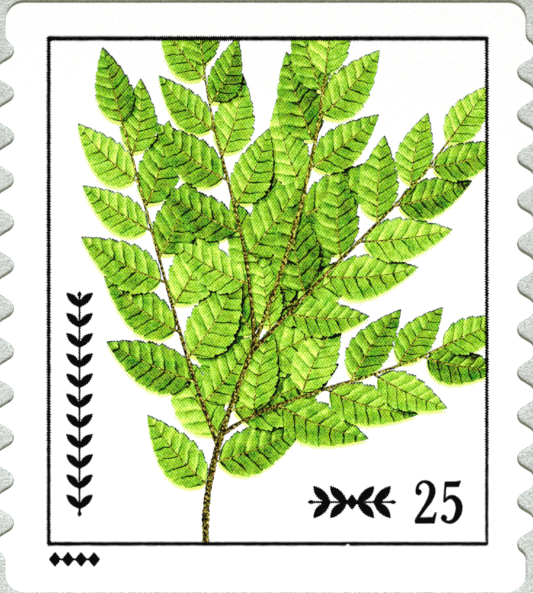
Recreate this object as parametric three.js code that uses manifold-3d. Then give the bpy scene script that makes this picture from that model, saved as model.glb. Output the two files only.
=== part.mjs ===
// A self-adhesive postage stamp on a piece of its backing paper.
// Units are millimetres. X runs to the right of the upright stamp, Y to its top and Z out of its face.
// The origin is the middle of the backing paper's underside. The stamp's own middle is above it.

import * as THREE from "three";
import { mergeVertices } from "three/addons/utils/BufferGeometryUtils.js";
import Module from "manifold-3d";

// Layers, from the bottom up
const linerThickness = 0.08;
const adhesiveThickness = 0.02;
const paperThickness = 0.1;
const inkThickness = 0.01;

// Backing paper
const linerWidth = 25.4;
const linerHeight = 27;

// Stamp outline: wavy die-cut sides between a straight top and bottom
const stampWidth = 21.98; // between the middle lines of the two waves
const stampHeight = 24.89;
const wavePitch = 1.8137;
const waveDepth = 0.72; // from a tooth's tip to a notch's bottom
const waveRadius = 0.42;
const notchCount = 12; // on each side
const cornerRadius = 0.78;
const adhesiveInset = 0.04;
const paperArcSteps = 4;
const adhesiveArcSteps = 2;

// Frame line round the picture: its middle line, and its width on each side
const frameWidth = 18.5;
const frameHeight = 21.34;
const frameCentre = new THREE.Vector2(0.09, 0.248);
const frameLine = { left: 0.13, right: 0.112, bottom: 0.144, top: 0.165 };
const pictureClearance = 0.02; // between the picture and the line round it

// Value at the lower right, and the ornament before it
const digitHeight = 1.82;
const digitWidth = 0.95;
const digitGap = 0.13;
const digitBoxWidth = 0.53; // of the box one unit high that a digit is drawn in
const strokeSteps = 28;
const ballRadius = 0.072;
const ballSteps = 12;
const valueRight = 8.31;
const valueBase = -9.56;
const valueOrnament = { length: 3.75, width: 1.3, pairs: 4, centre: new THREE.Vector2(3.65, -8.66) };

// Upright ornament at the left of the picture, and the small one below the frame
const sideOrnament = { length: 9.55, width: 1.08, pairs: 11, centre: new THREE.Vector2(-7.86, -4.52) };
const marginOrnament = { length: 2.2, width: 0.62, lozenges: 4, centre: new THREE.Vector2(-8.07, -11.08) };
const ornamentStem = 0.06;
const ornamentEnd = { halfLength: 0.14, halfWidth: 0.09 };
const ornamentMiddle = { halfLength: 0.24, halfWidth: 0.33 };
const ornamentGap = 0.21; // from an end's or the middle's lozenge to the first pair of leaves
const ornamentLean = Math.PI / 4.4;
const ornamentLeafTip = new THREE.Vector2(1, 0.04); // with the leaf's base at 0, 0
const ornamentLeafBelly = new THREE.Vector2(0.55, -0.46);
const ornamentLeafBack = new THREE.Vector2(0.5, 0.34);
const ornamentLeafSteps = 4;
const rowLozenge = 0.92; // length over the distance to the next one

// Leafy twig: a main stem and four side shoots, each a cubic curve. A shoot starts at a fraction of the main
// stem, and its leaves stand on alternate sides, from a first distance on.
const shoots = [
  { curve: [[-2.5, -10.6], [-3.0, -5.2], [1.3, -0.8], [2.5, 9.2]], first: 2.6, longestLeaf: 4.9, side: 1 },
  { fork: 0.27, curve: [[-3.6, -2.2], [-4.6, 2.2], [-6.0, 7.2]], first: 1.9, longestLeaf: 4.5, side: -1 },
  { fork: 0.3, curve: [[0.6, -4.0], [4.0, -3.8], [7.3, -2.2]], first: 1.6, longestLeaf: 4.2, side: 1 },
  { fork: 0.52, curve: [[-0.6, 3.0], [-2.1, 5.6], [-2.6, 9.6]], first: 1.5, longestLeaf: 4.2, side: -1 },
  { fork: 0.5, curve: [[2.9, 1.6], [5.4, 3.4], [7.6, 6.4]], first: 1.3, longestLeaf: 4.2, side: 1 },
];
const leafSpacing = 1.08;
const bareTip = 0.4; // of a shoot, before the leaf that ends it
const petiole = 0.22;
const mainStemWidth = 0.3;
const shootStemWidth = 0.17;
const stemTaper = 0.55; // share of the width lost by the tip
const stemSteps = 14;

// Leaves change along a shoot, from its foot to its tip
const footSize = 0.55; // over the longest leaf
const footGrowth = 1.7;
const tipShrink = 0.32;
const endLeafSize = 0.72;
const footSpread = 62; // degrees from the stem
const tipSpread = 36;
const leafBend = 0.16; // how far the tip curves sideways, over the length
const leafSlenderness = 0.28; // half width over length

// Scatter either way, with a prime for each kind of draw
const draws = { spread: 2, size: 3, width: 5, bend: 7, spacing: 11 };
const sizeScatter = 0.08;
const spreadScatter = 7;
const bendScatter = 0.06;
const widthScatter = 0.015;

// Saw-toothed edge of a leaf, and its shaded half
const leafTeeth = 7; // on each side
const leafBelly = 0.74; // below 1, the leaf is widest nearer its base
const leafFullness = 0.82; // below 1, it is rounder
const leafTaper = 0.22;
const notch = { place: 0.12, height: 0.9 }; // along one tooth, and over the leaf's plain edge
const tooth = { place: 0.92, height: 1.05 };
const midribWidth = 0.086;
const midribTaper = 0.87;
const midribReach = 0.86; // over the leaf's length
const midribSteps = 4;
const stemMargin = 0.03; // of green ink past the brown on each side
const pictureLight = new THREE.Vector2(-0.6, 0.8);
const shadeSteps = 7;
const shadeWidth = 0.84; // over the leaf's half width
const shadeReach = 0.96;

// Films of ink keep no points nearer to each other, no bends flatter and no holes smaller than these
const finestDetail = 0.004;
const finestBend = 0.002;
const smallestHole = 0.01; // area

const colours = {
  liner: 0xcfd3cd,
  adhesive: 0xe6e4d6,
  paper: 0xfbfbf8,
  black: 0x0c0c0e,
  green: 0x93c83a,
  darkGreen: 0x5f962a,
  brown: 0x5a4a1e,
};
const roughness = { liner: 0.8, adhesive: 0.4, paper: 0.85, black: 0.5, colour: 0.6 };

const wasm = await Module();
wasm.setup();

// Shapes in the plane

function arcPoints(cx, cy, radius, from, to, steps) {
  const points = [];
  for (let i = 0; i <= steps; i += 1) {
    const angle = from + ((to - from) * i) / steps;
    points.push(new THREE.Vector2(cx + radius * Math.cos(angle), cy + radius * Math.sin(angle)));
  }
  return points;
}

function withoutDoubles(points) {
  return points.filter((point, i) => point.distanceTo(points[(i + 1) % points.length]) > 1e-4);
}

// The right side runs upwards: a corner, a straight run, a shoulder, notches and teeth in turn, a fillet,
// a straight run and a corner. The left side is the right side turned by half a turn.
function stampOutline(inset, steps) {
  const x = stampWidth / 2;
  const y = stampHeight / 2;
  const r = waveRadius;
  const half = wavePitch / 2;
  const amplitude = waveDepth / 2;
  const convex = r - inset;
  const concave = r + inset;
  const notchX = x - amplitude + r;
  const toothX = x + amplitude - r;
  const offset = notchX - toothX;
  const flank = Math.asin((2 * r) / Math.hypot(half, offset)) - Math.atan2(offset, half);
  const endReach = 2 * r - amplitude;
  const endRise = Math.sqrt(4 * r * r - endReach * endReach);
  const endAngle = Math.atan2(endRise, endReach);
  const firstNotch = -((2 * notchCount - 1) * half) / 2;
  const lastTooth = -firstNotch;
  const corner = cornerRadius;

  const side = [
    ...arcPoints(x - corner, -y + corner, corner - inset, -Math.PI / 2, 0, 2 * steps),
    ...arcPoints(x - r, firstNotch - endRise, convex, 0, endAngle, steps),
  ];
  for (let i = 0; i < notchCount; i += 1) {
    const notchY = firstNotch + i * wavePitch;
    const notchStart = i === 0 ? endAngle : flank;
    const toothEnd = i === notchCount - 1 ? endAngle : flank;
    side.push(...arcPoints(notchX, notchY, concave, Math.PI + notchStart, Math.PI - flank, 2 * steps));
    side.push(...arcPoints(toothX, notchY + half, convex, -flank, toothEnd, 2 * steps));
  }
  side.push(...arcPoints(x + r, lastTooth + endRise, concave, Math.PI + endAngle, Math.PI, steps));
  side.push(...arcPoints(x - corner, y - corner, corner - inset, 0, Math.PI / 2, 2 * steps));

  const turned = side.map((point) => new THREE.Vector2(-point.x, -point.y));
  return new THREE.Shape(withoutDoubles([...side, ...turned]));
}

function polygon(corners) {
  return new THREE.Shape(corners.map(([x, y]) => new THREE.Vector2(x, y)));
}

function rectangle(width, height) {
  const [w, h] = [width / 2, height / 2];
  return polygon([[-w, -h], [w, -h], [w, h], [-w, h]]);
}

// The outer edge of the frame line for side 1 and its inner edge for side -1, drawn in by a clearance
function frameEdge(side, clearance = 0) {
  const out = (line) => (side * line) / 2 - clearance;
  const left = frameCentre.x - frameWidth / 2 - out(frameLine.left);
  const right = frameCentre.x + frameWidth / 2 + out(frameLine.right);
  const bottom = frameCentre.y - frameHeight / 2 - out(frameLine.bottom);
  const top = frameCentre.y + frameHeight / 2 + out(frameLine.top);
  return polygon([[left, bottom], [right, bottom], [right, top], [left, top]]);
}

// A ribbon along a curve, whose half width is a function of the fraction of its length
function ribbon(curve, halfWidth, steps) {
  const left = [];
  const right = [];
  for (let i = 0; i <= steps; i += 1) {
    const t = i / steps;
    const point = curve.getPoint(t);
    const tangent = curve.getTangent(t);
    const side = new THREE.Vector2(-tangent.y, tangent.x).multiplyScalar(halfWidth(t));
    left.push(point.clone().add(side));
    right.push(point.clone().sub(side));
  }
  return new THREE.Shape(withoutDoubles([...right, ...left.reverse()]));
}

// Solids

function plate(shape, thickness) {
  return new THREE.ExtrudeGeometry(shape, { depth: thickness, bevelEnabled: false });
}

function toSolid(geometry) {
  const bare = geometry.clone();
  bare.deleteAttribute("normal");
  bare.deleteAttribute("uv");
  const merged = mergeVertices(bare, 1e-5);
  const vertProperties = merged.attributes.position.array;
  const triVerts = merged.index.array;
  return new wasm.Manifold(new wasm.Mesh({ numProp: 3, vertProperties, triVerts }));
}

function inkSolid(shape) {
  return toSolid(plate(shape, inkThickness));
}

function joined(solids) {
  return solids.reduce((sum, solid) => sum.add(solid));
}

// The picture ends at the frame line
function cropped(solid) {
  return solid.intersect(inkSolid(frameEdge(-1, pictureClearance)));
}

// The edges of a flat solid's top face that only one of its triangles has, chained into closed loops
function topLoops(solid) {
  const { numProp, vertProperties, triVerts } = solid.getMesh();
  const isTop = (i) => vertProperties[i * numProp + 2] > inkThickness / 2;
  const next = new Map();
  for (let i = 0; i < triVerts.length; i += 3) {
    const corners = [...triVerts.slice(i, i + 3)];
    if (!corners.every(isTop)) continue;
    corners.forEach((from, k) => {
      const to = corners[(k + 1) % 3];
      const back = next.get(to) ?? [];
      if (back.includes(from)) {
        back.splice(back.indexOf(from), 1);
      } else {
        next.set(from, [...(next.get(from) ?? []), to]);
      }
    });
  }
  const loops = [];
  for (const start of next.keys()) {
    const loop = [];
    let at = start;
    while (next.get(at)?.length) {
      loop.push(new THREE.Vector2(vertProperties[at * numProp], vertProperties[at * numProp + 1]));
      at = next.get(at).pop();
    }
    if (loop.length > 2) loops.push(loop);
  }
  return loops;
}

// A loop without the points that lie next to another one, or on the line between their neighbours
function tidied(loop) {
  const apart = loop.filter((point, i) => point.distanceTo(loop[(i + 1) % loop.length]) > finestDetail);
  const kept = [];
  apart.forEach((point, i) => {
    const before = kept.at(-1) ?? apart.at(-1);
    const chord = apart[(i + 1) % apart.length].clone().sub(before);
    if (Math.abs(chord.cross(point.clone().sub(before))) > finestBend * chord.length()) {
      kept.push(point);
    }
  });
  return kept;
}

// One clean film with the outline of the largest body's top face
function film(solid) {
  const body = solid.decompose().reduce((best, other) => (other.volume() > best.volume() ? other : best));
  const loops = topLoops(body).map(tidied).filter((loop) => loop.length > 2);
  const area = (loop) => THREE.ShapeUtils.area(loop);
  const outer = loops.reduce((best, loop) => (area(loop) > area(best) ? loop : best));
  const shape = new THREE.Shape(outer);
  shape.holes = loops.filter((loop) => area(loop) < -smallestHole).map((loop) => new THREE.Path(loop));
  return plate(shape, inkThickness);
}

// Picture: a leafy twig

// A fixed scatter between -amount and amount, which differs for each leaf and each kind of draw
function vary(number, draw, amount) {
  const share = (number * Math.sqrt(draw)) % 1;
  return amount * (2 * share - 1);
}

function shootCurves() {
  const vectors = (list) => list.map(([x, y]) => new THREE.Vector2(x, y));
  const main = new THREE.CubicBezierCurve(...vectors(shoots[0].curve));
  const side = shoots.slice(1).map(
    (shoot) => new THREE.CubicBezierCurve(main.getPoint(shoot.fork), ...vectors(shoot.curve)),
  );
  return [main, ...side];
}

// A leaf on side 1 is to the left of its shoot, one on side -1 to the right, and one on side 0 ends it
function makeLeaf(number, shoot, curve, along, side) {
  const t = curve.getUtoTmapping(along);
  const tangent = curve.getTangent(t);
  const young = Math.min(1, footSize + footGrowth * along);
  const scattered = 1 + vary(number, draws.size, sizeScatter);
  const size = side === 0 ? endLeafSize : young * (1 - tipShrink * along) * scattered;
  const length = shoot.longestLeaf * size;
  const middle = THREE.MathUtils.lerp(footSpread, tipSpread, along);
  const spread = THREE.MathUtils.degToRad(middle + vary(number, draws.spread, spreadScatter));
  return {
    base: curve.getPoint(t),
    angle: Math.atan2(tangent.y, tangent.x) + side * spread,
    length,
    halfWidth: length * (leafSlenderness + vary(number, draws.width, widthScatter)),
    bend: vary(number, draws.bend, bendScatter) - side * leafBend,
  };
}

function allLeaves(curves) {
  const leaves = [];
  curves.forEach((curve, i) => {
    const total = curve.getLength();
    let side = shoots[i].side;
    let reach = shoots[i].first;
    while (reach < total - bareTip) {
      leaves.push(makeLeaf(leaves.length + 1, shoots[i], curve, reach / total, side));
      side = -side;
      reach += leafSpacing * (1 + vary(leaves.length, draws.spacing, sizeScatter));
    }
    leaves.push(makeLeaf(leaves.length + 1, shoots[i], curve, 1, 0));
  });
  return leaves;
}

// A point of a leaf: u runs from 0 at its base to 1 at its tip, v is the distance across over the half width
function leafPoint(leaf, u, v) {
  const x = petiole + u * leaf.length;
  const y = v * leaf.halfWidth + leaf.bend * leaf.length * u * u;
  return new THREE.Vector2(x, y).rotateAround(new THREE.Vector2(), leaf.angle).add(leaf.base);
}

function leafEdge(u) {
  return Math.sin(Math.PI * u ** leafBelly) ** leafFullness * (1 - leafTaper * u);
}

// Saw-toothed oval with a pointed tip
function leafOutline(leaf) {
  const edge = [];
  for (let i = 0; i < leafTeeth; i += 1) {
    for (const { place, height } of [notch, tooth]) {
      const u = (i + place) / leafTeeth;
      edge.push([u, leafEdge(u) * height]);
    }
  }
  const right = edge.map(([u, v]) => leafPoint(leaf, u, -v));
  const left = edge.map(([u, v]) => leafPoint(leaf, u, v)).reverse();
  return new THREE.Shape([leafPoint(leaf, 0, 0), ...right, leafPoint(leaf, 1, 0), ...left]);
}

function stemRibbon(curve, i, margin) {
  const width = i === 0 ? mainStemWidth : shootStemWidth;
  return ribbon(curve, (t) => (width / 2) * (1 - stemTaper * t) + margin, stemSteps);
}

// Along the leaf's middle, from its stem to near its tip
function midribRibbon(leaf, margin) {
  const right = [];
  const left = [];
  for (let i = 0; i <= midribSteps; i += 1) {
    const t = i / midribSteps;
    const u = THREE.MathUtils.lerp(-petiole / leaf.length, midribReach, t);
    const v = ((midribWidth / 2) * (1 - midribTaper * t) + margin) / leaf.halfWidth;
    right.push(leafPoint(leaf, u, -v));
    left.push(leafPoint(leaf, u, v));
  }
  return new THREE.Shape([...right, ...left.reverse()]);
}

function greenInk(curves, leaves) {
  const stems = curves.map((curve, i) => stemRibbon(curve, i, stemMargin));
  const stalks = leaves.map((leaf) => midribRibbon(leaf, stemMargin));
  const blades = leaves.map(leafOutline);
  return film(cropped(joined([...stems, ...stalks, ...blades].map(inkSolid))));
}

// The half of a leaf that is turned away from the light, from its midrib nearly to its edge
function shadedHalf(leaf) {
  const left = new THREE.Vector2(0, 1).rotateAround(new THREE.Vector2(), leaf.angle);
  const side = left.dot(pictureLight) > 0 ? -1 : 1;
  const edge = [];
  const midrib = [];
  for (let i = 1; i < shadeSteps; i += 1) {
    const u = i / shadeSteps;
    edge.push(leafPoint(leaf, u, side * leafEdge(u) * shadeWidth));
    midrib.push(leafPoint(leaf, u, 0));
  }
  const tip = leafPoint(leaf, shadeReach, 0);
  return new THREE.Shape([leafPoint(leaf, 0, 0), ...edge, tip, ...midrib.reverse()]);
}

// Each leaf lies over those before it in the list, and hides what is drawn on them
function visibleParts(solids, blades) {
  return solids.map((solid, i) => blades.slice(i + 1).reduce((rest, blade) => rest.subtract(blade), solid));
}

function darkGreenInk(curves, leaves) {
  const margin = stemMargin / 2;
  const stems = curves.map((curve, i) => inkSolid(stemRibbon(curve, i, margin)));
  const blades = leaves.map((leaf) => inkSolid(leafOutline(leaf)));
  const midribs = visibleParts(leaves.map((leaf) => inkSolid(midribRibbon(leaf, margin))), blades);
  const halves = visibleParts(leaves.map((leaf) => inkSolid(shadedHalf(leaf))), blades);
  return film(cropped(joined([...stems, ...midribs, ...halves])));
}

function brownInk(curves, leaves) {
  const stems = curves.map((curve, i) => inkSolid(stemRibbon(curve, i, 0)));
  const blades = leaves.map((leaf) => inkSolid(leafOutline(leaf)));
  const midribs = visibleParts(leaves.map((leaf) => inkSolid(midribRibbon(leaf, 0))), blades);
  return film(cropped(joined([...stems, ...midribs])));
}

// Black ink: the frame line, the value and the ornaments

function frameInk() {
  const line = frameEdge(1);
  line.holes.push(new THREE.Path(frameEdge(-1).getPoints()));
  return plate(line, inkThickness);
}

// A digit's strokes are drawn in a box one unit high, as [x, y, half width] along each stroke
function strokeShape(nodes) {
  const curve = new THREE.SplineCurve(nodes.map(([x, y]) => new THREE.Vector2(x, y)));
  const last = nodes.length - 1;
  const halfWidth = (t) => {
    const i = Math.min(Math.floor(t * last), last - 1);
    return THREE.MathUtils.lerp(nodes[i][2], nodes[i + 1][2], t * last - i);
  };
  return ribbon(curve, halfWidth, strokeSteps);
}

function ball(x, y) {
  return new THREE.Shape(withoutDoubles(arcPoints(x, y, ballRadius, 0, 2 * Math.PI, ballSteps)));
}

function digitTwo() {
  const swan = [
    [0.055, 0.72, 0.03], [0.09, 0.88, 0.03], [0.23, 0.972, 0.028], [0.38, 0.9, 0.055],
    [0.425, 0.74, 0.075], [0.36, 0.54, 0.062], [0.2, 0.3, 0.04], [0.05, 0.09, 0.03],
  ];
  const foot = [[0.01, 0], [0.47, 0], [0.53, 0.26], [0.49, 0.26], [0.43, 0.145], [0.05, 0.13], [0.01, 0.06]];
  return [strokeShape(swan), polygon(foot), ball(0.1, 0.725)];
}

function digitFive() {
  const bowl = [
    [0.1, 0.5, 0.022], [0.2, 0.595, 0.035], [0.32, 0.6, 0.055], [0.435, 0.47, 0.078],
    [0.44, 0.26, 0.078], [0.33, 0.07, 0.05], [0.18, 0.028, 0.028], [0.06, 0.1, 0.03],
  ];
  const stem = [[0.08, 0.49], [0.12, 0.49], [0.155, 0.9], [0.115, 0.96]];
  const flag = [[0.115, 0.845], [0.44, 0.845], [0.5, 1.0], [0.46, 0.985], [0.42, 0.97], [0.115, 0.97]];
  return [strokeShape(bowl), polygon(stem), polygon(flag), ball(0.095, 0.13)];
}

function digitInk(shapes, placeFromRight) {
  const left = valueRight - digitWidth - placeFromRight * (digitWidth + digitGap);
  const geometry = film(joined(shapes.map(inkSolid)));
  geometry.scale(digitWidth / digitBoxWidth, digitHeight, 1);
  geometry.translate(left, valueBase, 0);
  return geometry;
}

function lozenge(x, { halfLength, halfWidth }) {
  return polygon([[x - halfLength, 0], [x, -halfWidth], [x + halfLength, 0], [x, halfWidth]]);
}

// A curved, pointed leaf that starts at x on the ornament's stem and leans forwards, and its twin below
function leafPair(x, reach) {
  const base = new THREE.Vector2();
  const length = reach / Math.sin(ornamentLean);
  const belly = new THREE.QuadraticBezierCurve(base, ornamentLeafBelly, ornamentLeafTip);
  const back = new THREE.QuadraticBezierCurve(ornamentLeafTip, ornamentLeafBack, base);
  const points = [belly, back].flatMap((curve) => curve.getPoints(ornamentLeafSteps).slice(0, -1));
  const upper = points.map((point) => point.rotateAround(base, ornamentLean).multiplyScalar(length));
  upper.forEach((point) => point.setX(point.x + x));
  const lower = upper.map((point) => new THREE.Vector2(point.x, -point.y)).reverse();
  return [new THREE.Shape(upper), new THREE.Shape(lower)];
}

function mirrored(shape) {
  return new THREE.Shape(shape.getPoints().map((point) => new THREE.Vector2(-point.x, point.y)).reverse());
}

// Pairs of leaves up a thin stem with a lozenge at each end
function climbingVine({ length, width, pairs }) {
  const end = length / 2 - ornamentEnd.halfLength;
  const shapes = [rectangle(2 * end, ornamentStem), lozenge(-end, ornamentEnd), lozenge(end, ornamentEnd)];
  const first = ornamentGap - end;
  const step = (end - first - width / 2) / (pairs - 1);
  for (let i = 0; i < pairs; i += 1) {
    shapes.push(...leafPair(first + i * step, width / 2));
  }
  return shapes;
}

// Pairs of leaves that grow both ways from a lozenge in the middle
function spreadingVine({ length, width, pairs }) {
  const end = length / 2 - ornamentEnd.halfLength;
  const half = [lozenge(end, ornamentEnd)];
  const step = (end - ornamentGap) / (pairs / 2) - ornamentStem;
  for (let i = 0; i < pairs / 2; i += 1) {
    half.push(...leafPair(ornamentGap + i * step, width / 2));
  }
  return [rectangle(2 * end, ornamentStem), lozenge(0, ornamentMiddle), ...half, ...half.map(mirrored)];
}

function lozengeRow({ length, width, lozenges }) {
  const step = length / lozenges;
  const size = { halfLength: (rowLozenge * step) / 2, halfWidth: width / 2 };
  const shapes = [rectangle(length - step, ornamentStem)];
  for (let i = 0; i < lozenges; i += 1) {
    shapes.push(lozenge((i + 0.5) * step - length / 2, size));
  }
  return shapes;
}

function ornamentInk(shapes, centre, turn) {
  const geometry = film(joined(shapes.map(inkSolid)));
  geometry.rotateZ(turn);
  geometry.translate(centre.x, centre.y, 0);
  return geometry;
}

// The stack of layers

const stamp = new THREE.Group();

function addPiece(name, geometry, bottom, color, rough) {
  const material = new THREE.MeshStandardMaterial({ color, roughness: rough, metalness: 0 });
  const mesh = new THREE.Mesh(geometry, material);
  mesh.name = name;
  mesh.position.z = bottom;
  stamp.add(mesh);
}

const adhesiveBottom = linerThickness;
const paperBottom = adhesiveBottom + adhesiveThickness;
const inkBottom = paperBottom + paperThickness;
const shadeBottom = inkBottom + inkThickness;
const twigBottom = shadeBottom + inkThickness;

const liner = plate(rectangle(linerWidth, linerHeight), linerThickness);
const adhesive = plate(stampOutline(adhesiveInset, adhesiveArcSteps), adhesiveThickness);
const facePaper = plate(stampOutline(0, paperArcSteps), paperThickness);
addPiece("liner", liner, 0, colours.liner, roughness.liner);
addPiece("adhesive", adhesive, adhesiveBottom, colours.adhesive, roughness.adhesive);
addPiece("face_paper", facePaper, paperBottom, colours.paper, roughness.paper);

const curves = shootCurves();
const leaves = allLeaves(curves);
addPiece("ink_leaves", greenInk(curves, leaves), inkBottom, colours.green, roughness.colour);
addPiece("ink_leaf_shade", darkGreenInk(curves, leaves), shadeBottom, colours.darkGreen, roughness.colour);
addPiece("ink_twig", brownInk(curves, leaves), twigBottom, colours.brown, roughness.colour);

const blackInk = {
  border: frameInk(),
  numeral_tens: digitInk(digitTwo(), 1),
  numeral_units: digitInk(digitFive(), 0),
  side_ornament: ornamentInk(climbingVine(sideOrnament), sideOrnament.centre, Math.PI / 2),
  value_ornament: ornamentInk(spreadingVine(valueOrnament), valueOrnament.centre, 0),
  margin_ornament: ornamentInk(lozengeRow(marginOrnament), marginOrnament.centre, 0),
};
for (const [name, geometry] of Object.entries(blackInk)) {
  addPiece(`ink_${name}`, geometry, inkBottom, colours.black, roughness.black);
}

export default stamp;
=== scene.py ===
# A self-adhesive postage stamp on a piece of its backing paper, seen from straight above.
# Shapes in the plane are complex numbers in millimetres, X to the right of the stamp and Y to its top.
# A mesh is in metres, as everything in Blender is here.

import cmath
import math
import random
from collections import namedtuple

import bpy
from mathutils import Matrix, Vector, noise
from mathutils.geometry import delaunay_2d_cdt


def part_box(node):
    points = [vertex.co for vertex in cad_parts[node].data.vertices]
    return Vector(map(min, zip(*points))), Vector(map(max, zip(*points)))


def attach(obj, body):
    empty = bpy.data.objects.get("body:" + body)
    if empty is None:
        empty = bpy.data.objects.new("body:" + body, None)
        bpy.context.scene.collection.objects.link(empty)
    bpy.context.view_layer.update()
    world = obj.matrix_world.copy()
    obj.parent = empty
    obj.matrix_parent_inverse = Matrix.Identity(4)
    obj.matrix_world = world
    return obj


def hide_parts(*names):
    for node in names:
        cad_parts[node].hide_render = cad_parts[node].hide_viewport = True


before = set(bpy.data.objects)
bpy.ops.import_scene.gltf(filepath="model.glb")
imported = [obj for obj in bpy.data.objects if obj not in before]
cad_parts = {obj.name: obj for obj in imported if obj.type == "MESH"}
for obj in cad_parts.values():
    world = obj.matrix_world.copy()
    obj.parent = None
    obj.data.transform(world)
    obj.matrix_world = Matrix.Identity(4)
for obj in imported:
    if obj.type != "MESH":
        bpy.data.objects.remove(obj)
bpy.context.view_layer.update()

MM = 0.001
JOIN = 1e-5  # of a millimetre: points nearer than this are one point

# The photograph: its size in pixels, where the stamp's middle lies in it, and how many millimetres of the
# stamp a pixel shows. A whole number is the middle of its pixel.
PHOTO_WIDTH = 533
PHOTO_HEIGHT = 593
STAMP_MIDDLE_X = 265.1
STAMP_MIDDLE_Y = 296.6
PIXEL = 0.04223

# Camera and light: places and sizes in metres, and the sensor's width in millimetres
CAMERA_HEIGHT = 0.5
CAMERA_RANGE = (0.01, 10)
SENSOR = 36.0
SKY_COLOUR = (1, 1, 0.72, 1)
SKY_STRENGTH = 0.33
LAMP_PLACE = (-0.05, -0.34, 0.28)
LAMP_SIZE = 0.2
LAMP_POWER = 2.64
LAMP_COLOUR = (0.98, 0.98, 1.11)

# Floor
FLOOR_REACH = 400
FLOOR_DROP = 0.002  # under the backing paper, so that the two don't lie in one plane
FLOOR_TONE = 0.62
FLOOR_UNEVENNESS = 0.01
FLOOR_PATCH = 60
WINDOW_INSET = 0.1  # from the backing paper's edge to that of the window under it

# Die cut of the stamp's paper, as in the frame
STAMP_WIDTH = 21.98
STAMP_HEIGHT = 24.89
WAVE_PITCH = 1.8137
WAVE_DEPTH = 0.72
WAVE_RADIUS = 0.42
NOTCHES = 12
CORNER_RADIUS = 0.78

# Cut edges: the points along them, how rough they are, and the length of a bump
CUT_ARC_STEPS = 24
CUT_SPACING = 0.05
CUT_ROUGHNESS = 0.004
CUT_BUMP = 0.3
SLIT_SPACING = 0.2
SLIT_ROUGHNESS = 0.012
SLIT_BUMP = 1.5
ADHESIVE_INSET = 0.04
ADHESIVE_ROUGHNESS = 0.012
ADHESIVE_BUMP = 0.15

# Score that the die leaves in the backing paper: its two edges and its bottom, out from the stamp's edge
SCORE_OUTER = 0.06
SCORE_BOTTOM = 0.02
SCORE_INNER = -0.03
SCORE_DEPTH = 0.012

# Wall of the stamp's paper: two rings of cut fibres, and a top edge that the die pressed round
WALL_LEAN = 0.004
FIBRE_DEPTH = 0.004
LOW_FIBRES = 0.03  # over the paper's underside
LOW_FIBRE_BUMP = 0.05
HIGH_FIBRES = 0.045  # under the paper's top
HIGH_FIBRE_BUMP = 0.04
HIGH_FIBRE_INSET = 0.002
PRESSED_RADIUS = 0.025
PRESSED_STEPS = 4

# What is printed in black, how far that ink spreads, and the small teeth that the screen leaves
BLACK_FIGURES = (
    "border",
    "numeral_tens",
    "numeral_units",
    "side_ornament",
    "value_ornament",
    "margin_ornament",
)
INK_SPREAD = 0.013
TOOTH_PITCH_ACROSS = 0.091  # along a level line
TOOTH_PITCH_UP = 0.111  # along an upright one
BORDER_TOOTH_DEPTH = 0.042
FIGURE_TOOTH_DEPTH = 0.022
TOOTH_UNEVENNESS = (0.5, 1.1)
NICK = complex(3.47, -10.51)  # in the lower edge of the line round the picture
NICK_RADIUS = 0.085
NICK_DEPTH = 0.135
BLACK_SEED = 11

# The print's screen: cells in a diamond lattice, in cells a millimetre across and up
SCREEN_ACROSS = 8.146
SCREEN_UP = 5.92
SCREEN_STRAY = 0.012

# Colours of the papers, of the adhesive and of solid black ink
LINER_COLOUR = (0.552, 0.585, 0.54)
PAPER_COLOUR = (0.93, 0.93, 0.915)
ADHESIVE_COLOUR = (0.74, 0.72, 0.6)
SOLID_BLACK = (0.0014, 0.0014, 0.0018)

# What each of the picture's inks lets through of red, green and blue, and how much all inks shine
CYAN = (0.02, 0.66, 0.82)
MAGENTA = (0.85, 0.05, 0.3)
YELLOW = (1.0, 1.0, 0.005)
BLACK = (0.015, 0.015, 0.015)
COLOUR_SHINE = 0.04
BLACK_SHINE = 0.04

# Leafy twig, as in the frame: cubic curves, of which each after the first starts at a fraction of the first
Shoot = namedtuple("Shoot", "fork curve first longest side")
SHOOTS = (
    Shoot(0.0, ((-2.5, -10.6), (-3.0, -5.2), (1.3, -0.8), (2.5, 9.2)), first=2.6, longest=4.9, side=1),
    Shoot(0.27, ((-3.6, -2.2), (-4.6, 2.2), (-6.0, 7.2)), first=1.9, longest=4.5, side=-1),
    Shoot(0.3, ((0.6, -4.0), (4.0, -3.8), (7.3, -2.2)), first=1.6, longest=4.2, side=1),
    Shoot(0.52, ((-0.6, 3.0), (-2.1, 5.6), (-2.6, 9.6)), first=1.5, longest=4.2, side=-1),
    Shoot(0.5, ((2.9, 1.6), (5.4, 3.4), (7.6, 6.4)), first=1.3, longest=4.2, side=1),
)
PICTURE_CLEARANCE = 0.002  # between the picture and the line round it
LEAF_SPACING = 1.08
BARE_TIP = 0.4
PETIOLE = 0.22
MAIN_STEM_WIDTH = 0.3
SHOOT_STEM_WIDTH = 0.17
STEM_TAPER = 0.55
FOOT_SIZE = 0.55
FOOT_GROWTH = 1.7
TIP_SHRINK = 0.32
END_LEAF_SIZE = 0.72
FOOT_SPREAD = 62
TIP_SPREAD = 36
LEAF_BEND = 0.16
LEAF_SLENDERNESS = 0.28
DRAWS = {"spread": 2, "size": 3, "width": 5, "bend": 7, "spacing": 11, "tone": 13}
SIZE_SCATTER = 0.08
SPREAD_SCATTER = 7
BEND_SCATTER = 0.06
WIDTH_SCATTER = 0.015
LEAF_TEETH = 7
LEAF_BELLY = 0.74
LEAF_FULLNESS = 0.82
LEAF_TAPER = 0.22
MIDRIB_WIDTH = 0.086
MIDRIB_TAPER = 0.87
MIDRIB_REACH = 0.86
MIDRIB_STEPS = 9
STEM_STEP = 0.09
STEM_UNEVENNESS = (0.8, 1.25)  # its least and greatest width, over the plain one
STEM_SEED = 7
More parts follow.
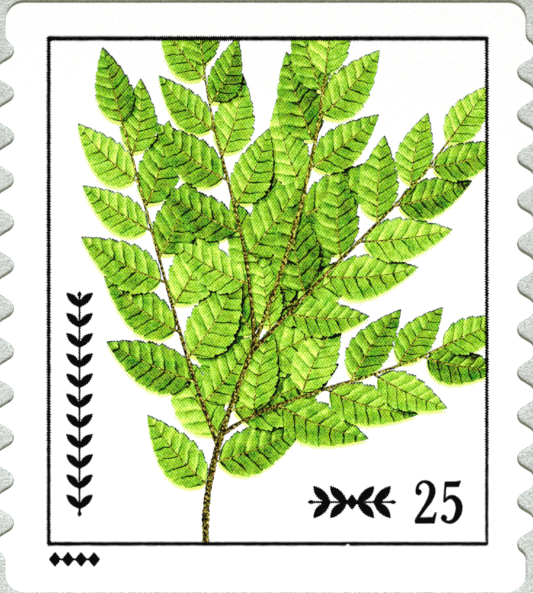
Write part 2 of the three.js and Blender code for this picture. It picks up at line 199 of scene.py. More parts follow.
PICTURE_LIGHT = complex(-0.6, 0.8)

# Points along one tooth of a leaf's edge, each with its distance off the midrib over that of a plain edge:
# large teeth as in the frame, the same with two small teeth on the back of each, and a shadow's soft waves
LARGE_TEETH = ((0.12, 0.9), (0.92, 1.05))
FINE_TEETH = ((0.12, 0.9), (0.36, 1.0), (0.42, 0.96), (0.66, 1.03), (0.72, 0.99), (0.92, 1.05))
SHADOW_WAVES = ((0.12, 0.96), (0.52, 0.97), (0.92, 1.02))

# How far the picture's inks and shadows reach past a leaf
YELLOW_SHIFT = complex(-0.045, -0.2)
RIM_SHIFT = complex(-0.018, -0.05)
CLEFT_REACH = complex(0.085, -0.105)
SHADOW_REACH = complex(0.19, -0.23)
SHADOW_AT_TIPS = 0.35  # the share of its reach that a leaf's shadow has at both ends
SHADOW_SWELL = 0.85  # and how much more it has in the middle
SOFT_CLEFT = 0.3  # the darkness of a soft shadow over that of a cleft

WALL_OPENING = 4.0  # on the map for baking, how far a wall's foot lies outside its top, over its depth


# Shapes in the plane


def arc(centre, radius, start, end, steps):
    """Points of an arc without its last one, which the next arc or line starts with."""
    return [centre + cmath.rect(radius, start + (end - start) * i / steps) for i in range(steps)]


def stamp_outline(steps):
    """The die cut: up the right side, then the same turned by half a turn for the left side."""
    x, y, r, half = STAMP_WIDTH / 2, STAMP_HEIGHT / 2, WAVE_RADIUS, WAVE_PITCH / 2
    amplitude = WAVE_DEPTH / 2
    notch_x = x - amplitude + r
    tooth_x = x + amplitude - r
    offset = notch_x - tooth_x
    flank = math.asin(2 * r / math.hypot(half, offset)) - math.atan2(offset, half)
    end_reach = 2 * r - amplitude
    end_rise = math.sqrt(4 * r * r - end_reach * end_reach)
    end_angle = math.atan2(end_rise, end_reach)
    last_tooth = (2 * NOTCHES - 1) * half / 2
    corner = CORNER_RADIUS
    side = arc(complex(x - corner, -y + corner), corner, -math.pi / 2, 0, 2 * steps)
    side += [complex(x, -y + corner)]
    side += arc(complex(x - r, -last_tooth - end_rise), r, 0, end_angle, steps)
    for i in range(NOTCHES):
        notch_y = i * WAVE_PITCH - last_tooth
        notch_start = end_angle if i == 0 else flank
        tooth_end = end_angle if i == NOTCHES - 1 else flank
        side += arc(complex(notch_x, notch_y), r, math.pi + notch_start, math.pi - flank, 2 * steps)
        side += arc(complex(tooth_x, notch_y + half), r, -flank, tooth_end, 2 * steps)
    side += arc(complex(x + r, last_tooth + end_rise), r, math.pi + end_angle, math.pi, steps)
    side += [complex(x, last_tooth + end_rise)]
    side += arc(complex(x - corner, y - corner), corner, 0, math.pi / 2, 2 * steps)
    side += [complex(x - corner, y)]
    return side + [-point for point in side]


def rectangle(width, height, centre=0j):
    w, h = width / 2, height / 2
    return [centre + corner for corner in (complex(-w, -h), complex(w, -h), complex(w, h), complex(-w, h))]


def evenly(loop, spacing):
    """Points at even distances round a closed loop."""
    ends = loop[1:] + loop[:1]
    lengths = [abs(end - start) for start, end in zip(loop, ends)]
    count = max(3, round(sum(lengths) / spacing))
    step = sum(lengths) / count
    points = []
    ahead = 0.0
    for start, end, length in zip(loop, ends, lengths):
        while ahead < length and len(points) < count:
            points.append(start + (end - start) * ahead / length)
            ahead += step
        ahead -= length
    return points


def normals(loop):
    """Unit normals that point out of a counter-clockwise loop."""
    found = []
    for i, after in enumerate(loop[1:] + loop[:1]):
        tangent = after - loop[i - 1]
        found.append(-1j * tangent / max(abs(tangent), JOIN))
    return found


def grown(loop, distances):
    """The loop with each point moved outwards by its distance."""
    return [point + normal * far for point, normal, far in zip(loop, normals(loop), distances)]


def moved(loop, distance):
    return grown(loop, [distance] * len(loop))


def roughened(loop, depth, size):
    """The loop moved in and out by smooth noise whose bumps are about that size."""
    distances = [depth * noise.noise(Vector((point.real, point.imag, 0)) / size) for point in loop]
    return grown(loop, distances)


def screened(loop, depth, chance):
    """A loop of ink that has spread a little, with the small uneven teeth that the screen leaves."""
    stretch = TOOTH_PITCH_UP / TOOTH_PITCH_ACROSS
    stretched = [complex(point.real * stretch, point.imag) for point in loop]
    even = [complex(point.real / stretch, point.imag) for point in evenly(stretched, TOOTH_PITCH_UP / 2)]
    teeth = [(depth if i % 2 else -depth) * chance.uniform(*TOOTH_UNEVENNESS) for i in range(len(even))]
    return grown(even, [INK_SPREAD + tooth for tooth in teeth])


def nicked(loop):
    """The loop pushed up where the ink missed a bit of the line."""
    return [point + 1j * NICK_DEPTH * max(0, 1 - abs(point - NICK) / NICK_RADIUS) for point in loop]


def smoothed(loop, sharpest=math.radians(38)):
    """The loop with its blunt corners cut twice, which rounds its curves and leaves its sharp corners."""
    for _ in range(2):
        rounder = []
        for i, here in enumerate(loop):
            before, after = loop[i - 1], loop[(i + 1) % len(loop)]
            turn = abs(cmath.phase((after - here) / (here - before)))
            if turn > sharpest:
                rounder.append(here)
            else:
                rounder += [here + (before - here) / 4, here + (after - here) / 4]
        loop = rounder
    return loop


def top_loops(node):
    """The outlines of a flat node's top face, the outer one counter-clockwise and the holes clockwise."""
    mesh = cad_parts[node].data
    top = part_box(node)[1].z
    spots = [(round(v.co.x / MM, 4), round(v.co.y / MM, 4)) for v in mesh.vertices]
    after = {}
    for face in mesh.polygons:
        if min(mesh.vertices[i].co.z for i in face.vertices) < top - 0.001 * MM:
            continue
        corners = [spots[i] for i in face.vertices]
        for start, end in zip(corners, corners[1:] + corners[:1]):
            if start in after.get(end, []):
                after[end].remove(start)
            else:
                after.setdefault(start, []).append(end)
    loops = []
    for start in list(after):
        loop = []
        at = start
        while after.get(at):
            loop.append(complex(*at))
            at = after[at].pop()
        if loop:
            loops.append(loop)
    return loops


def area(loop):
    return sum((here.conjugate() * after).imag for here, after in zip(loop, loop[1:] + loop[:1])) / 2


def flat(co):
    """A place in Blender, seen from above."""
    return complex(co.x, co.y) / MM


# Meshes


def planar(loops):
    """Splits the plane along loops. Gives points, triangles, and which loops cover each triangle."""
    points = []
    faces = []
    for loop in loops:
        turned = loop if area(loop) > 0 else loop[::-1]
        faces.append(list(range(len(points), len(points) + len(loop))))
        points += turned
    given = [Vector((point.real, point.imag)) for point in points]
    found, _, triangles, _, _, covers = delaunay_2d_cdt(given, [], faces, 1, JOIN, True)
    return [complex(*point) for point in found], triangles, covers


def made(name, points, faces, material):
    """A mesh object from points in millimetres."""
    mesh = bpy.data.meshes.new(name)
    mesh.from_pydata([Vector(point) * MM for point in points], [], faces)
    mesh.update()
    mesh.materials.append(material)
    piece = bpy.data.objects.new(name, mesh)
    bpy.context.scene.collection.objects.link(piece)
    return piece


def add_map(piece):
    """A map for baking: the piece from above, its walls opened outwards so that they have some width."""
    mesh = piece.data
    top = max(vertex.co.z for vertex in mesh.vertices)
    spots = []
    for face in mesh.polygons:
        slope = face.normal.xy * WALL_OPENING
        for i in face.vertices:
            place = mesh.vertices[i].co
            spots.append(place.xy + slope * (top - place.z))
    low = [min(spot[axis] for spot in spots) for axis in (0, 1)]
    high = [max(spot[axis] for spot in spots) for axis in (0, 1)]
    layer = mesh.uv_layers.new(name="OFBake")
    for corner, spot in zip(layer.uv, spots):
        corner.vector = [(spot[axis] - low[axis]) / (high[axis] - low[axis]) for axis in (0, 1)]


def dressed(piece, slot, *nodes):
    """Puts a piece in the place of these nodes of the frame."""
    add_map(piece)
    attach(piece, "root")
    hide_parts(*nodes)


class Body:
    """Gathers the faces of a closed body built of rings of points, from its underside to its top."""

    def __init__(self):
        self.points = []
        self.faces = []

    def ring(self, loop, height):
        first = len(self.points)
        self.points += [(point.real, point.imag, height) for point in loop]
        return list(range(first, len(self.points)))

    def wall(self, lower, upper):
        pairs = list(zip(lower, upper))
        for (a, d), (b, c) in zip(pairs, pairs[1:] + pairs[:1]):
            self.faces.append((a, b, c, d))

    def cap(self, outer, hole=(), up=True):
        rings = [list(outer), list(hole)] if hole else [list(outer)]
        indices = sum(rings, [])
        given = [Vector(self.points[i][:2]) for i in indices]
        faces = [list(range(len(rings[0])))]
        if hole:
            faces.append(list(range(len(rings[0]), len(indices))))
        _, _, triangles, origins, _, covers = delaunay_2d_cdt(given, [], faces, 1, JOIN, True)
        for triangle, cover in zip(triangles, covers):
            if cover == [0]:
                corners = [indices[origins[i][0]] for i in triangle]
                self.faces.append(corners if up else corners[::-1])


def film(name, points, triangles, bottom, top, material):
    """A flat film over some triangles of the plane. Gives the piece and, for each face, its triangle."""
    used = sorted({i for triangle in triangles for i in triangle})
    place = {i: k for k, i in enumerate(used)}
    count = len(used)
    corners = [(points[i].real, points[i].imag, height) for height in (top, bottom) for i in used]
    faces = [[place[i] for i in triangle] for triangle in triangles]
    owners = list(range(len(triangles)))
    owner = {}
    for k, (a, b, c) in enumerate(faces):
        owner.update({(a, b): k, (b, c): k, (c, a): k})
    faces += [[count + i for i in reversed(face)] for face in faces]
    owners += owners
    for (a, b), k in owner.items():
        if (b, a) not in owner:
            faces.append([b, a, count + a, count + b])
            owners.append(k)
    return made(name, corners, faces, material), owners


def outside(triangles, covers):
    """The numbers of the triangles that no loop covers and that none cuts off from the open plane."""
    sides = []
    owners = {}
    for i, triangle in enumerate(triangles):
        sides.append([frozenset(pair) for pair in zip(triangle, triangle[1:] + triangle[:1])])
        for side in sides[i]:
            owners.setdefault(side, []).append(i)
    found = set()
    ahead = [numbers[0] for numbers in owners.values() if len(numbers) == 1]
    while ahead:
        i = ahead.pop()
        if i not in found and not covers[i]:
            found.add(i)
            ahead += [number for side in sides[i] for number in owners[side]]
    return found


def ink_from_loops(name, loops, bottom, top, material):
    """A film of ink with an outer loop and holes. What an edge encloses as it crosses itself is ink."""
    outer = max(range(len(loops)), key=lambda i: abs(area(loops[i])))
    points, triangles, covers = planar(loops)
    left_out = outside(triangles, covers)
    kept = [triangles[i] for i, cover in enumerate(covers) if set(cover) <= {outer} and i not in left_out]
    piece, _ = film(name, points, kept, bottom, top, material)
    return piece


# Materials


class Field:
    """A number that varies over a surface. A sum or product of fields becomes a node of the material."""

    def __init__(self, tree, socket):
        self.tree = tree
        self.socket = socket

    def calculate(self, operation, *others, clamp=False):
        node = self.tree.nodes.new("ShaderNodeMath")
        node.operation = operation
        node.use_clamp = clamp
        for socket, given in zip(node.inputs, (self, *others)):
            if isinstance(given, Field):
                self.tree.links.new(given.socket, socket)
            else:
                socket.default_value = given
        return Field(self.tree, node.outputs[0])

    def __add__(self, other):
        return self.calculate("ADD", other)

    def __sub__(self, other):
        return self.calculate("SUBTRACT", other)

    def __mul__(self, other):
        return self.calculate("MULTIPLY", other)

    def __truediv__(self, other):
        return self.calculate("DIVIDE", other)

    def __pow__(self, other):
        return self.calculate("POWER", other)

    def __rsub__(self, other):
        return self * -1 + other

    __radd__ = __add__

    def clamped(self):
        return self.calculate("ADD", 0, clamp=True)

    def above(self, level, softness):
        """Rises from 0 to 1 as the field passes a level."""
        return ((self - level) / softness + 0.5).clamped()

    def band(self, middle, reach):
        """For a field that repeats from 0 to 1: 1 at the middle of a band, and 0 past its reach."""
        centred = (self + (0.5 - middle)).calculate("FRACT") - 0.5
        return (1 - centred.calculate("ABSOLUTE") / reach).clamped()


class Surface:
    """A material: where its surface lies, what the mesh says of it, and how it scatters light."""

    def __init__(self, name, roughness):
        self.material = bpy.data.materials.new(name)
        self.material.use_nodes = True
        self.tree = self.material.node_tree
        self.shader = self.tree.nodes["Principled BSDF"]
        self.shader.inputs["Roughness"].default_value = roughness
        coordinates = self.tree.nodes.new("ShaderNodeTexCoord")
        self.place = self.scaled(coordinates.outputs["Object"], (1 / MM,) * 3)

    def scaled(self, vector, factors):
        node = self.tree.nodes.new("ShaderNodeVectorMath")
        node.operation = "MULTIPLY"
        self.tree.links.new(vector, node.inputs[0])
        node.inputs[1].default_value = factors
        return node.outputs[0]

    def parts(self, vector):
        """The three numbers of a vector, as fields."""
        node = self.tree.nodes.new("ShaderNodeSeparateXYZ")
        self.tree.links.new(vector, node.inputs[0])
        return [Field(self.tree, socket) for socket in node.outputs]

    def attribute(self, name):
        node = self.tree.nodes.new("ShaderNodeAttribute")
        node.attribute_name = name
        return self.parts(node.outputs["Vector"])

    def cloud(self, width, height, detail=2.0, seed=0.0):
        """Smooth noise round 0, its spots this wide and high in millimetres, the same at every depth."""
        node = self.tree.nodes.new("ShaderNodeTexNoise")
        node.noise_dimensions = "4D"
        node.inputs["W"].default_value = seed
        node.inputs["Scale"].default_value = 1.0
        node.inputs["Detail"].default_value = detail
        spread = self.scaled(self.place, (1 / width, 1 / height, 0))
        self.tree.links.new(spread, node.inputs["Vector"])
        return (Field(self.tree, node.outputs["Fac"]) - 0.5) * 2

    def coloured(self, red, green, blue):
        node = self.tree.nodes.new("ShaderNodeCombineColor")
        for socket, field in zip(node.inputs, (red, green, blue)):
            self.tree.links.new(field.socket, socket)
        self.tree.links.new(node.outputs[0], self.shader.inputs["Base Color"])

    def raised(self, height, depth):
        """Bumps from a height field of about 0 to 1, this deep in millimetres."""
        node = self.tree.nodes.new("ShaderNodeBump")
        node.inputs["Distance"].default_value = depth * MM
        self.tree.links.new(height.socket, node.inputs["Height"])
        self.tree.links.new(node.outputs["Normal"], self.shader.inputs["Normal"])


def liner_paper():
    """Grey-green glazed paper: long fibres, fine grain and small pale flecks."""
    surface = Surface("liner_paper", roughness=0.55)
    grain = surface.cloud(0.1, 0.075, detail=3.0, seed=1.0)
    fibres = surface.cloud(0.5, 0.13, detail=2.0, seed=2.0)
    patches = surface.cloud(5.0, 3.0, detail=2.0, seed=3.0)
    flecks = surface.cloud(0.12, 0.07, detail=1.0, seed=4.0).above(0.36, 0.14)
    tone = 1 + grain * 0.95 + fibres * 0.35 + patches * 0.1 + flecks * 0.3
    surface.coloured(*[tone * channel for channel in LINER_COLOUR])
    surface.raised(grain + fibres, 0.004)
    return surface.material


def face_paper():
    """Coated white paper, with its fibres just to be felt."""
    surface = Surface("face_paper", roughness=0.6)
    red, green, blue = PAPER_COLOUR
    tone = 0.996 + surface.cloud(0.16, 0.12, detail=3.0, seed=5.0) * 0.07
    yellowing = surface.cloud(0.2, 0.16, detail=2.0, seed=21.0) * 0.06
    surface.coloured(tone * red, tone * green, (tone - yellowing) * blue)
    surface.raised(surface.cloud(0.16, 0.11, detail=2.0, seed=6.0), 0.0012)
    return surface.material


def adhesive():
    """A clear, slightly yellow film, which dust has dulled along its edge."""
    surface = Surface("adhesive", roughness=0.3)
    tone = 1 + surface.cloud(0.2, 0.2, detail=2.0, seed=7.0) * 0.1
    surface.coloured(*[tone * channel for channel in ADHESIVE_COLOUR])
    return surface.material


def screen(surface):
    """The lattice of the screen's cells, from 1 in the middle of a cell to -1 between cells."""
    x, y, _ = surface.parts(surface.place)
    x = x + surface.cloud(0.25, 0.25, detail=1.0, seed=8.0) * SCREEN_STRAY
    y = y + surface.cloud(0.25, 0.25, detail=1.0, seed=9.0) * SCREEN_STRAY
    across = (x * (2 * math.pi * SCREEN_ACROSS)).calculate("COSINE")
    up = (y * (2 * math.pi * SCREEN_UP)).calculate("COSINE")
    return across * up


def printed(surface, cells, cyan, magenta, yellow, black):
    """White paper under four inks. Each covers a share of the surface, less of it between cells."""
    channels = list(PAPER_COLOUR)
    for ink, coverage, depth in (
        (CYAN, cyan, 0.06),
        (MAGENTA, magenta, 0.03),
        (YELLOW, yellow, 0.04),
        (BLACK, black, 0.05),
    ):
        covered = (coverage + cells * depth).clamped()
        channels = [(1 - covered * (1 - through)) * channel for through, channel in zip(ink, channels)]
    surface.coloured(*[channel * (1 - cells * 0.2) - cells * 0.014 for channel in channels])
    surface.shader.inputs["Specular IOR Level"].default_value = COLOUR_SHINE


def print_grain(surface):
    return surface.cloud(0.085, 0.075, detail=2.0, seed=11.0)


def leaf_place(surface):
    """How far a point lies along its leaf and off its middle, and how far off the edge lies there."""
    along, across, bend = surface.attribute("place")
    off = (across - bend * along * along).calculate("ABSOLUTE")
    round_edge = (along.clamped() ** LEAF_BELLY * math.pi).calculate("SINE").clamped() ** LEAF_FULLNESS
    return along, off, round_edge * (1 - along * LEAF_TAPER)


def leaf_ink(name, lit):
    """Green print: pleats between the veins, mottling, clefts between leaves, pale and dark edges."""
    surface = Surface(name, roughness=0.5)
    cells = screen(surface)
    along, off, edge = leaf_place(surface)
    tone, cleft, rimmed = surface.attribute("print")
    facing, _, _ = surface.attribute("facing")
    mottle = surface.cloud(0.45, 0.45, detail=2.0, seed=10.0)
    grain = print_grain(surface)
    speckle = surface.cloud(0.1, 0.09, detail=1.0, seed=16.0)
    wander = surface.cloud(0.4, 0.4, detail=1.0, seed=17.0)
    hue = surface.cloud(0.6, 0.5, detail=2.0, seed=19.0)
    uneven = (0.85 + surface.cloud(1.1, 1.1, detail=1.0, seed=15.0) * 1.2).clamped()
    near_edge = (off / (edge + 0.05)).clamped()
    # From 0 at one side vein to 1 at the next. The veins lean towards the tip, and one ends in each tooth.
    panel = ((along + wander * 0.035 - off * 0.17) * LEAF_TEETH + 0.05).calculate("FRACT")
    groove = (panel.band(0.04, 0.11) * 1.6 + grain * 0.3).clamped() * uneven * (1 - near_edge * 0.8)
    ridge = panel.band(0.27, 0.22) * (1 - near_edge * 0.4)
    if lit:
        light = 0.67 + (0.5 - panel) * 0.32 + ridge * 0.2 - groove * 0.75
    else:
        light = 0.48 + (panel - 0.5) * 0.25 + ridge * 0.16 - groove * 0.6
    light = light + tone * 0.19 + mottle * 0.45 + grain * 0.6
    feather = near_edge ** 6 * facing.clamped()
    light = light + feather * 0.4 - cleft * 0.75 - rimmed * (0.3 + cells * 0.3)
    # The lighter the leaf, the less ink covers the paper
    cyan = 0.945 - light * light.calculate("ABSOLUTE") * 0.62 + speckle * 0.18 + hue * 0.2
    magenta = 0.91 - light * 1.15 + rimmed * 0.2
    yellow = 0.985 - (light - 0.62).clamped() * 0.36 - rimmed * 0.3 + speckle * 0.2
    black = (0.37 - light) * 2.6
    printed(surface, cells, cyan, magenta, yellow, black)
    return surface.material


def fringe_ink():
    """Yellow ink with a little blue, which stands out past the green and fades outwards."""
    surface = Surface("yellow_ink", roughness=0.5)
    _, off, edge = leaf_place(surface)
    grain = print_grain(surface)
    depth = ((edge - off) * 5).clamped()
    none = off * 0
    yellow = 0.05 + depth * 0.75 + grain * 0.35
    cyan = depth * 0.2 + grain * 0.2
    printed(surface, screen(surface), cyan, none, yellow, none)
    return surface.material


def twig_ink():
    """Brown print, dark with ochre and rusty flecks on the stems, and dotted on the midribs."""
    surface = Surface("brown_ink", roughness=0.5)
    along, across, is_stem = surface.attribute("place")
    scales = surface.cloud(0.13, 0.15, detail=2.0, seed=12.0)
    flecks = surface.cloud(0.09, 0.09, detail=1.0, seed=13.0)
    rust = surface.cloud(0.14, 0.14, detail=1.0, seed=18.0)
    woody = is_stem * (1.1 - along).clamped()
    light = scales * 1.1 + flecks * 1.0 - across * is_stem * 0.12
    cyan = 0.42 + woody * 0.06 - light * 0.35 - rust * 0.4
    magenta = 0.36 + woody * 0.25 - light * 0.5 + rust * 0.5
    yellow = 1.0 - light.clamped() * 0.4
    black = 0.52 + woody * 0.34 - light * 1.6
    printed(surface, screen(surface), cyan, magenta, yellow, black)
    return surface.material


def black_ink():
    """Solid black with a few pinholes."""
    surface = Surface("black_ink", roughness=0.4)
    grain = surface.cloud(0.08, 0.08, detail=1.0, seed=14.0)
    holes = grain.above(0.45, 0.3) * 0.035
    surface.coloured(*[holes + channel for channel in SOLID_BLACK])
    surface.shader.inputs["Specular IOR Level"].default_value = BLACK_SHINE
    return surface.material


# Picture: a leafy twig


class Curve:
    """A Bezier curve with a table of its length."""

    STEPS = 200

    def __init__(self, points):
        self.points = points
        self.spots = [self.point(i / self.STEPS) for i in range(self.STEPS + 1)]
        self.lengths = [0.0]
        for start, end in zip(self.spots, self.spots[1:]):
            self.lengths.append(self.lengths[-1] + abs(end - start))

    def point(self, t):
        points = self.points
        while len(points) > 1:
            points = [a + (b - a) * t for a, b in zip(points, points[1:])]
        return points[0]

    def heading(self, t):
        slopes = [b - a for a, b in zip(self.points, self.points[1:])]
        while len(slopes) > 1:
            slopes = [a + (b - a) * t for a, b in zip(slopes, slopes[1:])]
        return slopes[0] / abs(slopes[0])

    def at_length(self, length):
        """The curve's parameter at this length from its start."""
        i = next(k for k in range(self.STEPS) if self.lengths[k + 1] >= length)
        return (i + (length - self.lengths[i]) / (self.lengths[i + 1] - self.lengths[i])) / self.STEPS


def vary(number, draw, amount):
    """A fixed scatter between -amount and amount, which differs for each leaf and each kind of draw."""
    return amount * (2 * (number * math.sqrt(DRAWS[draw]) % 1) - 1)


def blend(start, end, t):
    return start + (end - start) * t


def leaf_edge(u):
    return math.sin(math.pi * u**LEAF_BELLY) ** LEAF_FULLNESS * (1 - LEAF_TAPER * u)


class Leaf:
    """A leaf of the twig. u runs from 0 at its blade's foot to 1 at its tip, and v over its half width."""

    def __init__(self, number, shoot, curve, reach, side):
        along = reach / curve.lengths[-1]
        t = curve.at_length(reach)
        young = min(1, FOOT_SIZE + FOOT_GROWTH * along)
        size = young * (1 - TIP_SHRINK * along) * (1 + vary(number, "size", SIZE_SCATTER))
        spread = blend(FOOT_SPREAD, TIP_SPREAD, along) + vary(number, "spread", SPREAD_SCATTER)
        self.base = curve.point(t)
        self.turn = curve.heading(t) * cmath.rect(1, side * math.radians(spread))
        self.length = shoot.longest * (size if side else END_LEAF_SIZE)
        self.half_width = self.length * (LEAF_SLENDERNESS + vary(number, "width", WIDTH_SCATTER))
        self.bend = vary(number, "bend", BEND_SCATTER) - side * LEAF_BEND
        self.tone = vary(number, "tone", 1)
        self.left_is_lit = (1j * self.turn * PICTURE_LIGHT.conjugate()).real > 0

    def point(self, u, v):
        x = PETIOLE + u * self.length
        y = v * self.half_width + self.bend * self.length * u * u
        return self.base + self.turn * complex(x, y)

    def place(self, point, kind):
        """Along the leaf, across it before it bends, and how much it bends, or 0 on its midrib."""
        if kind == "fringe":
            point -= YELLOW_SHIFT
        local = (point - self.base) / self.turn
        along = (local.real - PETIOLE) / self.length
        bend = 0.0 if kind == "midrib" else self.bend * self.length / self.half_width
        return along, local.imag / self.half_width, bend

    def side(self, sign, teeth):
        """One edge from base to tip."""
        points = []
        for i in range(LEAF_TEETH):
            for place, height in teeth:
                u = (i + place) / LEAF_TEETH
                points.append(self.point(u, sign * leaf_edge(u) * height))
        return points

    def half(self, sign):
        middle = [self.point(i / MIDRIB_STEPS, 0) for i in range(MIDRIB_STEPS + 1)]
        return middle[:1] + self.side(sign, FINE_TEETH) + middle[:0:-1]

    def outline(self, teeth=LARGE_TEETH):
        left = self.side(1, teeth)
        return [self.point(0, 0)] + self.side(-1, teeth) + [self.point(1, 0)] + left[::-1]

    def shadow(self, reach):
        """The leaf moved by a reach, most of all in its middle."""
        points = []
        for point in self.outline(SHADOW_WAVES):
            along = (((point - self.base) / self.turn).real - PETIOLE) / self.length
            swell = SHADOW_SWELL * math.sin(math.pi * min(1, max(0, along)))
            points.append(point + reach * (SHADOW_AT_TIPS + swell))
        return points

    def facing(self, kind):
        """How the lit or shaded side of the leaf faces in the picture: 1 down, -1 up."""
        left = (kind == "lit") == self.left_is_lit
        return -self.turn.real if left else self.turn.real

    def midrib(self):
        right = []
        left = []
        for i in range(MIDRIB_STEPS + 1):
            t = i / MIDRIB_STEPS
            u = blend(-PETIOLE / self.length, MIDRIB_REACH, t)
            v = MIDRIB_WIDTH / 2 * (1 - MIDRIB_TAPER * t) / self.half_width
            right.append(self.point(u, -v))
            left.append(self.point(u, v))
        return right + left[::-1]


class Stem:
    """A stem along one of the twig's curves."""

    tone = 0.0
    STRIDE = 4  # between those spots of the curve where the nearest to a point is looked for
    WIDEST = 1.2  # as far across as a point of the stem counts

    def __init__(self, curve, width):
        self.curve = curve
        self.width = width

    def half_width(self, t):
        return self.width / 2 * (1 - STEM_TAPER * t)

    def outline(self, chance):
        """Its two edges, uneven with the small scales that stand off it."""
        steps = round(self.curve.lengths[-1] / STEM_STEP)
        right = []
        left = []
        for i in range(steps + 1):
            t = i / steps
            reach = -1j * self.curve.heading(t) * self.half_width(t) * chance.uniform(*STEM_UNEVENNESS)
            right.append(self.curve.point(t) + reach)
            left.append(self.curve.point(t) - reach)
        return right + left[::-1]

    def facing(self, kind):
        return 0.0

    def place(self, point, kind):
        """Along the stem, across it from -1 at its right edge to 1 at its left, and 1 for a stem."""
        spots = self.curve.spots
        nearest = min(range(0, len(spots), self.STRIDE), key=lambda i: abs(spots[i] - point))
        t = nearest / self.curve.STEPS
        across = ((point - self.curve.point(t)) / self.curve.heading(t)).imag / self.half_width(t)
        return t, max(-self.WIDEST, min(self.WIDEST, across)), 1.0


def shoot_curves():
    courses = [[complex(*point) for point in shoot.curve] for shoot in SHOOTS]
    main = Curve(courses[0])
    forks = [main.point(shoot.fork) for shoot in SHOOTS[1:]]
    return [main] + [Curve([fork] + course) for fork, course in zip(forks, courses[1:])]


def all_leaves(curves):
    leaves = []
    for shoot, curve in zip(SHOOTS, curves):
        total = curve.lengths[-1]
        side = shoot.side
        reach = shoot.first
        while reach < total - BARE_TIP:
            leaves.append(Leaf(len(leaves) + 1, shoot, curve, reach, side))
            side = -side
            reach += LEAF_SPACING * (1 + vary(len(leaves), "spacing", SIZE_SCATTER))
        leaves.append(Leaf(len(leaves) + 1, shoot, curve, total, 0))
    return leaves


# What is printed at a place: its kind, the leaf or stem that it is part of, how deep it lies in a cleft,
# and whether the yellow ink misses it
Print = namedtuple("Print", "kind owner cleft rimmed")


class Sheet:
    """The picture's pieces of print, each a loop that lies over those before it."""

    def __init__(self):
        self.loops = []
        self.kinds = []

    def lay(self, loop, kind, owner=None):
        self.loops.append(loop)
        self.kinds.append((kind, owner))

    def print_at(self, cover):
        """What shows where these loops lie. The yellow misses a rim only where the paper lies behind it."""
        cleft = 0.0
        rimmed = 1.0
        fringe = None
        shown = None
        for i in sorted(cover, reverse=True):
            kind, owner = self.kinds[i]
            if shown and owner is not shown[1] and kind in ("lit", "shaded", "stem"):
                rimmed = 0.0
            elif kind == "yellow":
                fringe = fringe or owner
            elif shown:
                continue
            elif kind == "core":
                rimmed = 0.0
            elif kind == "soft shadow":
                cleft = max(cleft, SOFT_CLEFT)
            elif kind == "cleft":
                cleft = 1.0
            elif kind != "paper":
                shown = (kind, owner)
        if shown:
            return Print(*shown, cleft, rimmed)
        return Print("fringe", fringe, 0.0, 0.0) if fringe else None


def picture_sheet(border):
    chance = random.Random(STEM_SEED)
    curves = shoot_curves()
    sheet = Sheet()
    sheet.lay(moved(min(border, key=area), PICTURE_CLEARANCE), "paper")
    for leaf in all_leaves(curves):
        outline = leaf.outline()
        sheet.lay(leaf.shadow(SHADOW_REACH), "soft shadow")
        sheet.lay(leaf.shadow(CLEFT_REACH), "cleft")
        sheet.lay(leaf.half(1), "lit" if leaf.left_is_lit else "shaded", leaf)
        sheet.lay(leaf.half(-1), "shaded" if leaf.left_is_lit else "lit", leaf)
        sheet.lay(leaf.midrib(), "midrib", leaf)
        sheet.lay([point + YELLOW_SHIFT for point in outline], "yellow", leaf)
        sheet.lay([point + RIM_SHIFT for point in outline], "core")
    for curve in curves:
        stem = Stem(curve, MAIN_STEM_WIDTH if curve is curves[0] else SHOOT_STEM_WIDTH)
        outline = stem.outline(chance)
        sheet.lay([point + CLEFT_REACH for point in outline], "soft shadow")
        sheet.lay(outline, "stem", stem)
    return sheet


def mark(piece, owners, prints):
    """Writes on each face of a film where it lies on its leaf or stem, and how it is printed."""
    mesh = piece.data
    mesh.polygons.foreach_set("material_index", [int(prints[owner].kind == "fringe") for owner in owners])
    mesh.attributes.new("place", "FLOAT_VECTOR", "CORNER")
    mesh.attributes.new("print", "FLOAT_VECTOR", "FACE")
    mesh.attributes.new("facing", "FLOAT", "FACE")
    place, look, facing = [mesh.attributes[name].data for name in ("place", "print", "facing")]
    for face, owner in zip(mesh.polygons, owners):
        kind, source, cleft, rimmed = prints[owner]
        look[face.index].vector = (source.tone, cleft, rimmed)
        facing[face.index].value = source.facing(kind)
        for corner in face.loop_indices:
            point = flat(mesh.vertices[mesh.loops[corner].vertex_index].co)
            place[corner].vector = source.place(point, kind)


def print_picture(border):
    """The picture's three films, which end at the inner edge of the black line."""
    sheet = picture_sheet(border)
    points, triangles, covers = planar(sheet.loops)
    inside = [(triangle, sheet.print_at(cover)) for triangle, cover in zip(triangles, covers) if 0 in cover]
    shown = [(triangle, look) for triangle, look in inside if look]

    leaves = picture_film("leaves", points, shown, leaf_ink("green_ink", lit=True), fringe_ink())
    dressed(leaves, "green_ink", "ink_leaves")
    shown = [(triangle, look) for triangle, look in shown if look.kind in ("shaded", "midrib", "stem")]
    shade = picture_film("leaf_shade", points, shown, leaf_ink("dark_green_ink", lit=False))
    dressed(shade, "dark_green_ink", "ink_leaf_shade")
    shown = [(triangle, look) for triangle, look in shown if look.kind != "shaded"]
    dressed(picture_film("twig", points, shown, twig_ink()), "brown_ink", "ink_twig")


def picture_film(name, points, shown, *materials):
    """A film of the picture over the triangles that it prints. Its second material prints the fringes."""
    prints = [look for _, look in shown]
    triangles = [triangle for triangle, _ in shown]
    piece, owners = film("printed_" + name, points, triangles, *level("ink_" + name), materials[0])
    for material in materials[1:]:
        piece.data.materials.append(material)
    mark(piece, owners, prints)
    return piece


# Papers and black ink


def level(node):
    """The heights of a node's underside and top, in millimetres."""
    low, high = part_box(node)
    return low.z / MM, high.z / MM


